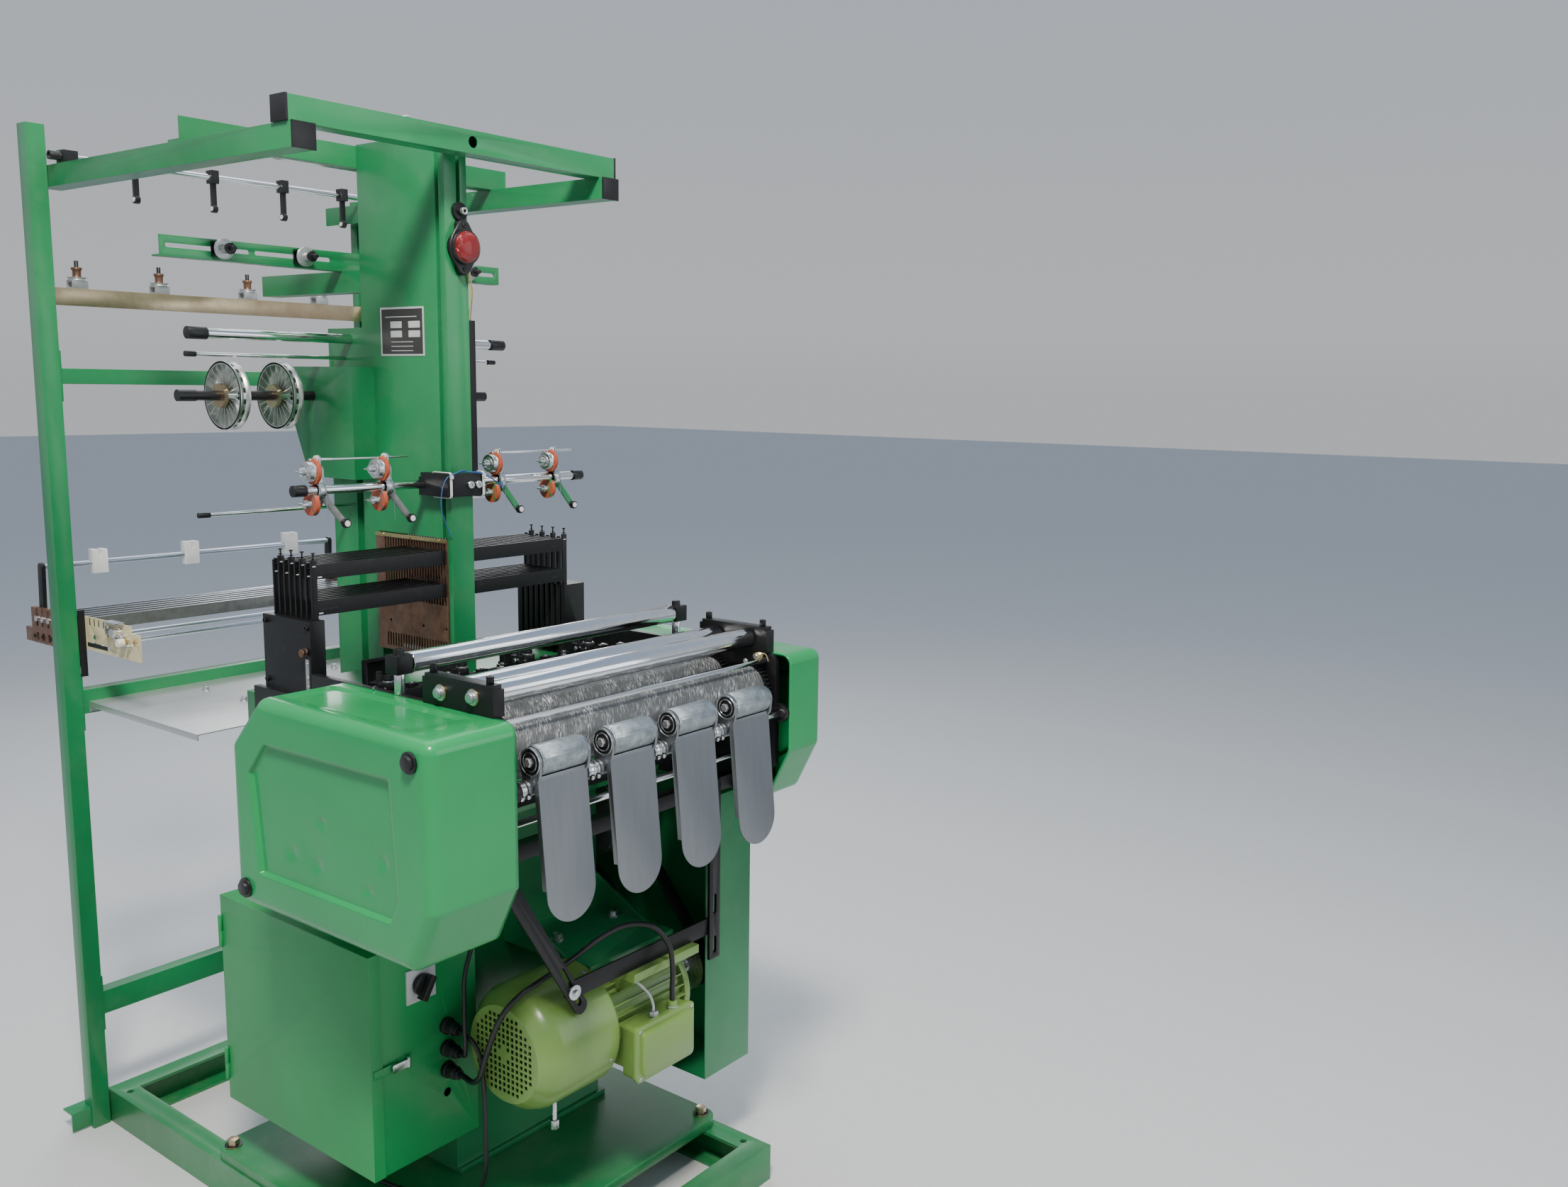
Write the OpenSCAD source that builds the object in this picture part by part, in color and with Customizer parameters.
// Four-ribbon power loom: floor frame, head with take-up rollers, heald frames on a central column,
// motor drive, electric cabinet and a rear stand with the warp stop motion.
// X runs to the operator's right, Y to the rear, Z up; the origin is the floor point at the middle
// of the floor frame. All lengths are in millimetres.

/* [Floor frame] */
// Width of the floor frame across the loom
base_w = 702; // [640:2:760]
// Length of the floor frame from front to rear
base_l = 1222; // [1160:2:1290]
// Height of the floor frame's channel
base_h = 72; // [60:1:80]
// Width of the channel's flanges
base_flange = 45; // [38:1:50]
// Wall of the channel
base_wall = 6; // [4:0.5:8]
// Diameter of the four anchor holes
anchor_d = 14; // [10:1:18]
// Distance of the anchor holes from the front and rear ends
anchor_inset = 51; // [46:1:70]
// Thickness of the bed plate
plate_t = 22; // [16:1:26]
// Length of the bed plate
plate_l = 680; // [650:5:720]

/* [Pedestal and gear case] */
// Width of the welded pedestal
pedestal_w = 366; // [350:2:372]
// Depth of the welded pedestal
pedestal_l = 385; // [370:5:400]
// Height of the gear case's top over the floor
case_top = 1000; // [990:1:1004]
// Height of the gear case
case_h = 210; // [195:5:215]

/* [Head] */
// Clear width between the two side plates
head_w = 638; // [630:1:646]
// Thickness of a side plate
side_t = 12; // [9:1:14]
// Height of the side plates' top edge
side_top = 1062; // [1058:1:1064]
// Radius of the three polished guide rollers
roller_r = 18; // [16:0.5:18.5]
// Radius of the two wound take-up drums
drum_r = 45; // [42:0.5:46]
// Radius of the knurled press rollers
press_r = 24; // [20:0.5:25]
// Length of a press roller
press_len = 92; // [80:1:98]
// Distance between two ribbons
ribbon_pitch = 151; // [140:1:154]
// Width of a delivery chute
chute_w = 100; // [84:1:106]
// Length of a delivery chute
chute_l = 232; // [170:2:240]

/* [Heald frames] */
// Number of heald frames
heald_count = 8; // [4:2:10]
// Distance between two heald frames
heald_pitch = 16; // [14:0.5:17]
// Thickness of a heald frame
heald_t = 4; // [3:0.5:5]
// Height of a heald frame's bar
heald_bar = 26; // [20:1:28]
// Length of a heald frame
heald_l = 586; // [560:2:588]
// Stroke of the heald frames
heald_stroke = 24; // [16:1:26]

/* [Column] */
// Width of the column
column_w = 50; // [40:1:56]
// Thickness of the slotted guide plates
guide_t = 2.5; // [1.5:0.5:4]

/* [Rear stand] */
// Height of the rear posts
post_h = 2018; // [2000:2:2060]
// Side of the square tubes
tube = 40; // [36:1:44]
// Side of the left rear post
post_w = 35; // [30:1:38]

/* [Covers] */
// Wall of the moulded covers
cover_t = 4; // [3:0.5:5]
// Rounding of the covers' outer edges
cover_round = 20; // [12:1:24]
// Depth of the left cover across the loom
cover_l_depth = 158; // [130:1:170]
// Depth of the right cover across the loom
cover_r_depth = 102; // [90:1:120]

/* [Motor drive] */
// Radius of the motor's fan cover
fan_r = 112; // [104:1:114]
// Radius of the motor's finned body
motor_r = 88; // [80:1:90]
// Radius of the motor pulley
motor_pulley_r = 45; // [40:1:60]
// Radius of the main shaft's pulley
main_pulley_r = 90; // [70:1:95]
// Width of the drive belt
belt_w = 30; // [20:1:34]

/* [Cabinet] */
// Width of the electric cabinet
cab_w = 222; // [200:2:222]
// Depth of the electric cabinet
cab_l = 444; // [420:4:460]
// Height of the electric cabinet
cab_h = 401; // [380:1:440]
// Sheet thickness of the cabinet
cab_t = 2; // [1.5:0.5:3]

/* [Yarn feed] */
// Radius of the spoked feed wheels
wheel_r = 62; // [50:1:66]
// Number of spokes in a feed wheel
spokes = 20; // [14:1:24]
// Radius of the feed bars
feed_bar_r = 8; // [6:0.5:9]

/* [Hidden] */
$fn = 48;
// Running clearance of a shaft in its bore, on the radius
run = 0.05;
// Gap between pieces that move past each other
gap = 0.3;
// A slot's straight sides lie this much inside its round ends
slot_nip = 0.03;

// Floor
anchor_x = base_w / 2 - base_flange / 2;
anchor_y = base_l / 2 - anchor_inset;
plate_w = base_w - 6;
plate_y0 = -480;
plate_y1 = plate_y0 + plate_l;
plate_z = base_h + plate_t;
plate_bolt_x = plate_w / 2 - 24;
plate_bolt_in = 28;

// Pedestal and gear case
ped_x1 = 250;
ped_x0 = ped_x1 - pedestal_w;
ped_y0 = -235;
ped_y1 = ped_y0 + pedestal_l;
pedestal_wall = 10;
case_wall = 12;
case_z0 = case_top - case_h;
case_y0 = -330;
case_y1 = 80;

// Head
mid_x = 13;
in_x0 = mid_x - head_w / 2;
in_x1 = mid_x + head_w / 2;
out_x0 = in_x0 - side_t;
out_x1 = in_x1 + side_t;
side_y0 = -622;
side_y1 = 36;
side_step_y = -140;
side_step_z = 1018;
side_front_z0 = 812;
block_t = 22;
block_h = 48;
block_y0 = -604;
block_y1 = -441;
block_z = side_top + block_h;
roller_gap = 3;
block_in_x0 = in_x0 + (block_t - side_t) / 2;
block_in_x1 = in_x1 - (block_t - side_t) / 2;
roller_x0 = block_in_x0 + roller_gap;
roller_x1 = block_in_x1 - roller_gap;
roller1_y = -560;
roller1_z = side_top + 26;
roller2_y = -485;
roller2_z = side_top + 22;
shaft_r = 8;
mid_roller_y = -370;
mid_roller_z = side_top + 49;
mid_cube = 30;
mid_post_r = 8.5;
mid_post_x = [out_x0 + side_t / 2, out_x1 - side_t / 2];
mid_in_x0 = mid_post_x[0] + mid_cube / 2;
mid_in_x1 = mid_post_x[1] - mid_cube / 2;
gear_m = 2.5;
gear_z = 38;
needle_y = -290;
needle_x0 = -275;
needle_pin_r = 5;
needle_bend = 44;
table_z = 1040;
gear_w = 14;
drum_dist = gear_m * gear_z;
drum1_y = -571;
drum1_z = 995;
drum_rise = 4;
drum2_z = drum1_z + drum_rise;
drum2_y = drum1_y + sqrt(drum_dist * drum_dist - drum_rise * drum_rise);
drum_axle_r = 10;
drum_x0 = in_x0 + 10;
drum_x1 = in_x1 - 10 - gear_w;
press_z = drum1_z;
press_y = drum1_y - drum_r - press_r - gap;
press_pin_r = 6;
pivot_y = -630;
pivot_z = 952;
pivot_r = 8;
collar_r = 14;
collar_l = 24;
ear_r = 17;
strip_y = -603;
strip_z = 1046;
guard_rod_y = -585;
guard_rod_z = 882;
cheek_t = 5;
cheek_gap = 1;
chute_lean = 5.5;
chute_t = 1.5;
chute_lip = 8;
chute_y = -653;
chute_top = 973;
ribbon_x0 = mid_x - 20 - 1.5 * ribbon_pitch;

// Heald frames and column
col_x0 = -10;
col_x1 = col_x0 + column_w;
col_mid = (col_x0 + col_x1) / 2;
box_y0 = -115;
box_neck = 10;
box_y1 = 122;
box_z0 = 1264;
front_y0 = -131;
front_y1 = -115;
rear_y0 = 86;
rear_y1 = 231;
rear_top = 1650;
rear_slot_y = 144.5;
rear_slot_w = 21;
rear_slot_depth = 15;
heald_y0 = -111;
heald_low = 1154;
heald_window = 36;
heald_x0 = -heald_l / 2;
heald_leg = 11;
heald_leg_low = case_top + 16;
guide_y0 = -119;
guide_y1 = 95;
guide_z0 = 1035;
guide_z1 = box_z0 - 3;
slot_clear = 0.5;
slot_z0 = heald_low - heald_stroke / 2 - 4;
slot_z1 = heald_low + heald_stroke / 2 + 2 * heald_bar + heald_window + 4;
comb_back = 5;
comb_z0 = 1021;
comb_z1 = 1147;
comb_y0 = heald_y0 - 11;
comb_y1 = heald_y0 + (heald_count - 1) * heald_pitch + 17;
comb_depth = 22;

// Rear stand
post_x = base_w / 2 + 3;
left_post_y = base_l / 2 - 12;
right_post_y = left_post_y + 5;
right_post_l = 60;
right_post_w = 36;
strut_slot = 12;
tube_t = 3;
cap_t = 4;
cap_plug = 20;
beam_x = post_x - tube;
beam_z = post_h - 114;
beam_top = beam_z + tube;
column_top = beam_top + tube + 2;
front_top = beam_top + 7;
beam_y0 = -200;
beam_left_y1 = left_post_y + post_w;
beam_right_y1 = right_post_y + 96;
front_beam_y = -192;
angle_leg = 40;
angle_t = 4;
rail_y = right_post_y;
rail_t = 30;
foot_angle = 40;
rail_low_z = 239;
rail_tray_z = 880;
rail_mid_z = 1536;
tray_z = 905;
tray_t = 2;
tray_y0 = 195;
tray_w = 680;

// Covers
cover_y0 = -648;
cover_y1 = -149;
cover_z0 = 715;
cover_z1 = side_top;
cover_r_z0 = 782;
cover_lx = out_x0;
cover_rx = out_x1;

// Motor drive
motor_y = -430;
motor_z = 415;
motor_x0 = 2;
motor_x1 = 215;
fan_x0 = -167;
fan_x1 = -2;
fan_t = 2;
fan_bevel = 42;
rotor_r = 14;
pulley_x = 296;
main_y = -150;
main_z = 672;
main_r = 17;
flange_h = 5;
bracket_z = 510;
bracket_t = 12;
hang_y = -530;
hang_t = 6;
guard_x0 = 272;
guard_x1 = 407;
guard_y0 = -507;
guard_y1 = -40;
guard_z0 = 208;
guard_z1 = 776;
guard_t = 2;

// Cabinet
cab_x1 = ped_x0;
cab_x0 = cab_x1 - cab_w;
cab_y0 = -298;
cab_y1 = cab_y0 + cab_l;
cab_z0 = 210;
cab_z1 = cab_z0 + cab_h;
cab_lip = 20;
hinge_r = 4;
hinge_pin_r = 2;
hinge_x = cab_x0 - gap - cab_t - 2;
hinge_z = [cab_z0 + 40, cab_z1 - 100];
gland_x = -183;
gland_z = [351, 391, 433];
gland_r = 12;
switch_x = -235;
switch_z = 530;
latch_x = -300;
latch_z = 401;

// Yarn feed
wheel_y = 215;
wheel_z = 1520;
wheel_shaft_r = 9;
wheel_w = 20;
hub_r = 13;
rim_t = 5;
wheel_x = [-237, -130, 160, 267];
wheel_shaft_x0 = -333;
wheel_shaft_x1 = 363;
house_w = 50;
clamp_z0 = 1343;
clamp_h = 42;
clamp_y0 = -145;
cheek = 16;
feed_y = -75;
feed_z = clamp_z0 + clamp_h / 2;
feed_x0 = -295;
feed_x1 = 367;
feed_unit_x = [-250, -112, 148, 292];
arm_y1 = 460;
arm_z = 1718;
hook_y = 560;
hook_rod_r = 6;
hook_z = beam_top + 13;
hook_x = [-206, -44, 115, 262];
yarn_rail_z = 1687;
yarn_rail_h = 34;
spindle_x = [-291, -125, 73, 250];
tension_y = 185;
tension_x = [-258, -95, 125, 288];
thick_y = 160;
thick_z = 1629;
thin_y = 180;
thin_z = 1593;
low_y = 165;
low_z = 1309;
disc_r = 18;
stub_x0 = -337;
stub_x1 = 367;

// Warp stop motion
stop_y0 = left_post_y + 35;
stop_y1 = stop_y0 + 166;
stop_y2 = stop_y1 + 28;
stop_z0 = 1005;
stop_mid_z = 1034;
stop_z1 = 1078;
stop_t = 12;
stop_bars_n = 6;
stop_pitch = 25;
stop_bar_t = 9;
stop_rod_y = left_post_y - 39;
stop_rod_z = [1041, 1025];
cream_y0 = right_post_y - 222;
cream_z0 = 1013;
cream_z1 = 1080;
cream_t = 2.5;
strap_t = 13;
strap_z0 = 958;
strap_z1 = 1092;
block_rail_y = stop_y0 + 141;
block_rail_z = 1161;
block_x = [-222, -17, 232];

// Cable routes, chosen by hand
motor_route = [[-183, -333, 351], [-183, -339, 351], [-183, -346, 351], [-187, -372, 352],
    [-191, -396, 372], [-192, -412, 410], [-190, -430, 456], [-182, -446, 496], [-160, -462, 526],
    [-120, -474, 544], [-70, -488, 564], [0, -500, 590], [50, -514, 600], [90, -540, 590],
    [112, -558, 552], [118, -561, 505], [118, -560, 471], [118, -560, 459], [118, -560, 453], [118, -560, 447]];
motor_cable_r = 5;
sensor_route = [[-183, -333, 391], [-183, -339, 391], [-183, -345, 391], [-187, -354, 398],
    [-190, -358, 420], [-189, -356, 450], [-184, -350, 490], [-176, -344, 540], [-150, -340, 600],
    [-138, -338, 660], [-130, -334, 710], [-130, -312, 748], [-130, -300, 770], [-130, -300, 776],
    [-130, -300, 782]];
sensor_cable_r = 4;
floor_route = [[-183, -333, 433], [-183, -339, 433], [-183, -345, 432], [-180, -362, 424],
    [-176, -378, 400], [-175, -386, 350], [-175, -388, 300], [-176, -390, 240], [-178, -388, 180],
    [-183, -366, 134], [-192, -320, 110], [-205, -260, 102], [-226, -170, 102], [-240, -90, 108],
    [-242, -30, 132], [-242, -10, 170], [-242, -10, 190], [-242, -10, 196], [-242, -10, 202]];
floor_cable_r = 4;

green = [0.10, 0.42, 0.22];
cover_green = [0.12, 0.50, 0.27];
motor_green = [0.45, 0.62, 0.27];
black = [0.08, 0.08, 0.09];
bright = [0.80, 0.82, 0.84];
zinc = [0.66, 0.68, 0.68];
copper = [0.45, 0.24, 0.16];
cream = [0.82, 0.76, 0.55];

// A box given by its two corners
module block(x0, x1, y0, y1, z0, z1) {
    translate([x0, y0, z0]) cube([x1 - x0, y1 - y0, z1 - z0]);
}

// Round bars along the three axes
module bar_x(x0, x1, y, z, r) {
    translate([x0, y, z]) rotate([0, 90, 0]) cylinder(r = r, h = x1 - x0);
}
module bar_y(x, y0, y1, z, r) {
    translate([x, y1, z]) rotate([90, 0, 0]) cylinder(r = r, h = y1 - y0);
}
module bar_z(x, y, z0, z1, r) {
    translate([x, y, z0]) cylinder(r = r, h = z1 - z0);
}

// A profile in Y and Z, extruded along X
module along_x(x0, x1) {
    translate([x0, 0, 0]) rotate([90, 0, 90]) linear_extrude(x1 - x0) children();
}

// A profile in X and Z, extruded along Y
module along_y(y0, y1) {
    translate([0, y1, 0]) rotate([90, 0, 0]) linear_extrude(y1 - y0) children();
}

// A rectangle with round corners, from its lower corner
module round_rect(x, y, w, h, r) {
    translate([x + r, y]) square([w - 2 * r, h]);
    translate([x, y + r]) square([w, h - 2 * r]);
    for (i = [r, w - r], j = [r, h - r]) translate([x + i, y + j]) circle(r);
}

// A straight slot with round ends between two points
module slot_2d(p, q, r) {
    d = q - p;
    translate(p) circle(r);
    translate(q) circle(r);
    translate(p) rotate(atan2(d[1], d[0])) translate([0, slot_nip - r]) square([norm(d), 2 * (r - slot_nip)]);
}

// Square tube along X or Y, given by its lower corner
module tube_x(x0, x1, y, z, w, h, t) {
    difference() {
        block(x0, x1, y, y + w, z, z + h);
        block(x0 - 1, x1 + 1, y + t, y + w - t, z + t, z + h - t);
    }
}
module tube_y(x, y0, y1, z, w, h, t) {
    difference() {
        block(x, x + w, y0, y1, z, z + h);
        block(x + t, x + w - t, y0 - 1, y1 + 1, z + t, z + h - t);
    }
}

// Hexagon bolt head with its washer, standing up from a face
module hex_z(x, y, z, af, h, washer) {
    bar_z(x, y, z, z + 3, washer);
    translate([x, y, z + 3]) rotate(15) cylinder(r = af / sqrt(3), h = h, $fn = 6);
}

// Socket screw standing up from a face
module cap_z(x, y, z, r) {
    difference() {
        bar_z(x, y, z, z + 2 * r, r);
        translate([x, y, z + r]) cylinder(r = r * 0.5, h = 2 * r, $fn = 6);
    }
}

// Tube along a route, with one ring of eight points at each point of the route
function unit(v) = v / norm(v);
function heading(p, i) = unit(p[min(i + 1, len(p) - 1)] - p[max(i - 1, 0)]);
function side_way(t) = unit(cross(t, abs(t[1]) < 0.8 ? [0, 1, 0] : [0, 0, 1]));
function mid_points(p) = [for (i = [0 : len(p) - 2], s = [0, 0.5])
    let (a = p[max(i - 1, 0)], b = p[i], c = p[i + 1], d = p[min(i + 2, len(p) - 1)])
    s == 0 ? b : (9 * (b + c) - a - d) / 16];
function smooth_route(p) = concat(mid_points(p), [p[len(p) - 1]]);
module swept_tube(route, r) {
    sides = 8;
    p = smooth_route(route);
    n = len(p);
    rings = [for (i = [0 : n - 1], k = [0 : sides - 1])
        let (t = heading(p, i), u = side_way(t), v = cross(t, u), a = 360 * k / sides)
        p[i] + r * (cos(a) * u + sin(a) * v)];
    walls = [for (i = [0 : n - 2], k = [0 : sides - 1])
        let (a = i * sides, m = (k + 1) % sides)
        [a + k, a + m, a + sides + m, a + sides + k]];
    first = [for (k = [sides - 1 : -1 : 0]) k];
    last = [for (k = [0 : sides - 1]) (n - 1) * sides + k];
    polyhedron(points = rings, faces = concat(walls, [first, last]));
}

// Floor frame: mitred channel, web outward, with one anchor hole through both flanges at each corner
module base_frame() {
    color(green) difference() {
        block(-base_w / 2, base_w / 2, -base_l / 2, base_l / 2, 0, base_h);
        block(-base_w / 2 + base_flange, base_w / 2 - base_flange,
            -base_l / 2 + base_flange, base_l / 2 - base_flange, -1, base_h + 1);
        block(-base_w / 2 + base_wall, base_w / 2 - base_wall,
            -base_l / 2 + base_wall, base_l / 2 - base_wall, base_wall, base_h - base_wall);
        for (i = [-1, 1], j = [-1, 1])
            bar_z(i * anchor_x, j * anchor_y, -1, base_h + 1, anchor_d / 2);
    }
}

module base_plate() {
    color(green) translate([0, 0, base_h]) linear_extrude(plate_t)
        round_rect(-plate_w / 2, plate_y0, plate_w, plate_l, 28);
}

// Pedestal: welded box with a foot rim, a top flange and the bracket that the motor hangs from
module pedestal() {
    color(green) difference() {
        union() {
            pedestal_shell();
            foot_rim();
            block(ped_x0, ped_x1 + 15, ped_y0 - 15, rear_y1 + 5, case_z0 - 14, case_z0);
            motor_bracket();
        }
        bar_x(ped_x1 - 80, ped_x1 + 1, main_y, main_z, main_r + run);
    }
}
module foot_rim() {
    w = pedestal_wall;
    difference() {
        block(ped_x0, ped_x1 + w, ped_y0 - w, ped_y1 + w, plate_z, plate_z + w);
        block(ped_x0 + w, ped_x1 - w, ped_y0 + w, ped_y1 - w, plate_z - 1, plate_z + w + 1);
    }
}
module pedestal_shell() {
    w = pedestal_wall;
    difference() {
        block(ped_x0, ped_x1, ped_y0, ped_y1, plate_z, case_z0);
        block(ped_x0 + w, ped_x1 - w, ped_y0 + w, ped_y1 - w, plate_z - 1, case_z0 - 14);
    }
    bar_x(ped_x1 - 80, ped_x1 - w / 2, main_y, main_z, main_r + 14);
}
module motor_bracket() {
    block(6, 226, -465, ped_y0, bracket_z, bracket_z + bracket_t);
    for (x = [6, 218]) along_x(x, x + 8)
        polygon([[ped_y0, bracket_z + bracket_t], [-400, bracket_z + bracket_t],
            [ped_y0, bracket_z + 90]]);
}

// Gear case: flat casting between the side plates, with ribs on its front
module gear_case() {
    color(green) {
        difference() {
            block(in_x0, in_x1, case_y0, case_y1, case_z0, case_top);
            block(in_x0 + case_wall, in_x1 - case_wall, case_y0 + case_wall, case_y1 - case_wall,
                case_z0 + case_wall, case_top - case_wall);
            block(ped_x0 + 30, ped_x1 - 30, ped_y0 + 30, case_y1 - 30, case_z0 - 1, case_z0 + case_wall + 1);
        }
        bar_z(-130, -300, case_z0 - 8, case_z0, 8);
        for (i = [0 : 4]) let (x = in_x0 + 60 + i * (head_w - 132) / 4)
            block(x, x + 12, case_y0 - 14, case_y0, case_z0 + 20, case_top - 30);
    }
}

// Two side plates joined by cross bars, with the roller blocks and the heald guides
module side_outline() {
    r = 22;
    difference() {
        union() {
            slot_2d([pivot_y, pivot_z], [side_y0 + ear_r, pivot_z], ear_r);
            translate([side_y0, side_front_z0 + 40])
                square([side_step_y - side_y0, side_top - side_front_z0 - 40 - r]);
            translate([side_y0 + r, side_top - r - 1]) square([side_step_y - side_y0 - r, r + 1]);
            translate([side_y0 + r, side_top - r]) circle(r);
            polygon([[side_y0, side_front_z0 + 40.5], [side_y0 + 60, case_z0 - 2],
                [side_y1, case_z0 - 2], [side_y1, side_step_z], [side_step_y - 1, side_step_z],
                [side_step_y - 1, side_front_z0 + 40.5]]);
        }
        for (y = [drum1_y, drum2_y]) translate([y, y == drum1_y ? drum1_z : drum2_z])
            circle(drum_axle_r + run);
        translate([pivot_y, pivot_z]) circle(pivot_r + run);
    }
}
module roller_block(x) {
    difference() {
        block(x, x + block_t, block_y0, block_y1, side_top, block_z);
        for (y = [block_y0 - 1, block_y1 - 6])
            translate([x - 1, y, block_z - 6]) cube([block_t + 2, 7, 7]);
    }
}
module mid_clamp(x) {
    block(x, x + mid_cube, mid_roller_y - mid_cube / 2, mid_roller_y + mid_cube / 2,
        mid_roller_z - mid_cube / 2, mid_roller_z + mid_cube / 2);
    bar_z(x + mid_cube / 2, mid_roller_y, mid_roller_z + mid_cube / 2,
        mid_roller_z + mid_cube / 2 + 9, 8);
}
// One comb: a back plate with ribs between the legs of the heald frames
module heald_comb(side) {
    x0 = side < 0 ? in_x0 : in_x1 - comb_back;
    difference() {
        union() {
            block(x0, x0 + comb_back, comb_y0, comb_y1, case_top + 1, comb_z1);
            block(side < 0 ? x0 : heald_l / 2 - comb_depth + 6,
                side < 0 ? heald_x0 + comb_depth - 6 : x0 + comb_back,
                comb_y0, comb_y1, comb_z0, comb_z1);
        }
        for (i = [0 : heald_count - 1]) let (y = heald_y0 + i * heald_pitch)
            block(side < 0 ? heald_x0 - slot_clear : heald_l / 2 - heald_leg - slot_clear - 20,
                side < 0 ? heald_x0 + heald_leg + 20 : heald_l / 2 + slot_clear,
                y - heald_t / 2 - slot_clear, y + heald_t / 2 + slot_clear,
                comb_z0 - 1, comb_z1 + 1);
    }
}
module head_frame() {
    color(black) {
        along_x(out_x0, in_x0) side_outline();
        along_x(in_x1, out_x1) side_outline();
        block(in_x0, in_x1, -524, -500, case_z0 + 2, case_z0 + 28);
        block(in_x0, in_x1, -450, -430, 850, 880);
        roller_block(out_x0 - (block_t - side_t) / 2);
        roller_block(in_x1 - (block_t - side_t) / 2);
        mid_clamp(mid_post_x[0] - mid_cube / 2);
        mid_clamp(mid_post_x[1] - mid_cube / 2);
        needle_table();
        heald_comb(-1);
        heald_comb(1);
    }
}

// Dead shafts of the guide rollers, their posts, the spreader bar and the press rollers' pivot shaft
module take_up_bars() {
    color(bright) {
        bar_x(block_in_x0, block_in_x1, roller1_y, roller1_z, shaft_r);
        bar_x(block_in_x0, block_in_x1, roller2_y, roller2_z, shaft_r);
        bar_x(mid_in_x0, mid_in_x1, mid_roller_y, mid_roller_z, shaft_r);
        for (x = mid_post_x) bar_z(x, mid_roller_y, side_top, mid_roller_z - mid_cube / 2, mid_post_r);
        block(in_x0, in_x1, strip_y, strip_y + 5, strip_z, strip_z + 8);
        bar_x(in_x0, in_x1, guard_rod_y, guard_rod_z, 6);
        pivot_shaft();
    }
}
// The pivot shaft runs in an ear on the front edge of each side plate
module pivot_shaft() {
    bar_x(out_x0 - 3, out_x1 + 3, pivot_y, pivot_z, pivot_r);
    for (k = [0 : 3]) let (x = ribbon_x0 + k * ribbon_pitch - chute_w / 2 - 10 - collar_l)
        bar_x(max(x, in_x0 + 1), x + collar_l, pivot_y, pivot_z, collar_r);
}

module roller(y, z) {
    color(bright) difference() {
        union() {
            bar_x(roller_x0, roller_x1, y, z, roller_r - 1);
            bar_x(roller_x0 + 1, roller_x1 - 1, y, z, roller_r);
        }
        bar_x(roller_x0 - 1, roller_x1 + 1, y, z, shaft_r + run);
    }
}
module front_roller_1() { roller(roller1_y, roller1_z); }
module front_roller_2() { roller(roller2_y, roller2_z); }
module middle_roller() {
    x0 = mid_in_x0 + roller_gap;
    x1 = mid_in_x1 - roller_gap;
    color(bright) difference() {
        union() {
            bar_x(x0, x1, mid_roller_y, mid_roller_z, roller_r - 2);
            bar_x(x0 + 1, x1 - 1, mid_roller_y, mid_roller_z, roller_r - 1);
        }
        bar_x(x0 - 1, x1 + 1, mid_roller_y, mid_roller_z, shaft_r + run);
    }
}

// Spur gear outline with straight-sided teeth
module gear_2d(phase) {
    pitch_r = gear_m * gear_z / 2;
    root_r = pitch_r - 1.25 * gear_m;
    tip_r = pitch_r + 0.85 * gear_m;
    step = 360 / gear_z;
    circle(root_r, $fn = 2 * gear_z);
    for (i = [0 : gear_z - 1]) rotate(phase + i * step)
        polygon([[root_r - 1, -2.4], [pitch_r, -1.65], [tip_r, -0.8],
            [tip_r, 0.8], [pitch_r, 1.65], [root_r - 1, 2.4]]);
}
// Drum: wound barrel, axle in the side plates and its gear at the right end
module drum(y, z, phase) {
    color(zinc) {
        bar_x(drum_x0, drum_x1, y, z, drum_r);
        bar_x(out_x0 - 4, out_x1, y, z, drum_axle_r);
        bar_x(drum_x0 - 8, drum_x0, y, z, drum_axle_r + 8);
        translate([drum_x1 + 2, y, z]) rotate([90, 0, 90]) linear_extrude(gear_w) gear_2d(phase);
        bar_x(drum_x1, drum_x1 + 2, y, z, drum_axle_r + 12);
    }
}
mesh_line = atan2(drum2_z - drum1_z, drum2_y - drum1_y);
module drum_front() { drum(drum1_y, drum1_z, mesh_line); }
module drum_rear() { drum(drum2_y, drum2_z, mesh_line + 180 / gear_z); }

// Press arm: two cheeks and a hub on the pivot shaft, a pin for its roller and the delivery chute
module cheek_2d() {
    hull() {
        translate([press_y, press_z]) circle(press_r - 2, $fn = 32);
        translate([press_y, press_z - 16]) circle(press_r - 4, $fn = 32);
    }
    slot_2d([press_y, press_z - 16], [pivot_y, pivot_z], 12);
}
module press_arm(k) {
    xc = ribbon_x0 + k * ribbon_pitch;
    half = press_len / 2 + cheek_gap;
    hub0 = xc - chute_w / 2 - 7;
    hub1 = xc + chute_w / 2 + 7;
    color(black) difference() {
        union() {
            for (x = [xc - half - cheek_t, xc + half]) along_x(x, x + cheek_t) cheek_2d();
            bar_x(xc - half, xc + half, press_y, press_z, press_pin_r);
            bar_x(hub0, hub1, pivot_y, pivot_z, 13);
            block(xc - half, xc + half, chute_y, pivot_y - 8, pivot_z - 6, pivot_z + 8);
        }
        bar_x(hub0 - 1, hub1 + 1, pivot_y, pivot_z, pivot_r + run);
    }
    color(bright) chute(xc);
}
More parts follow.
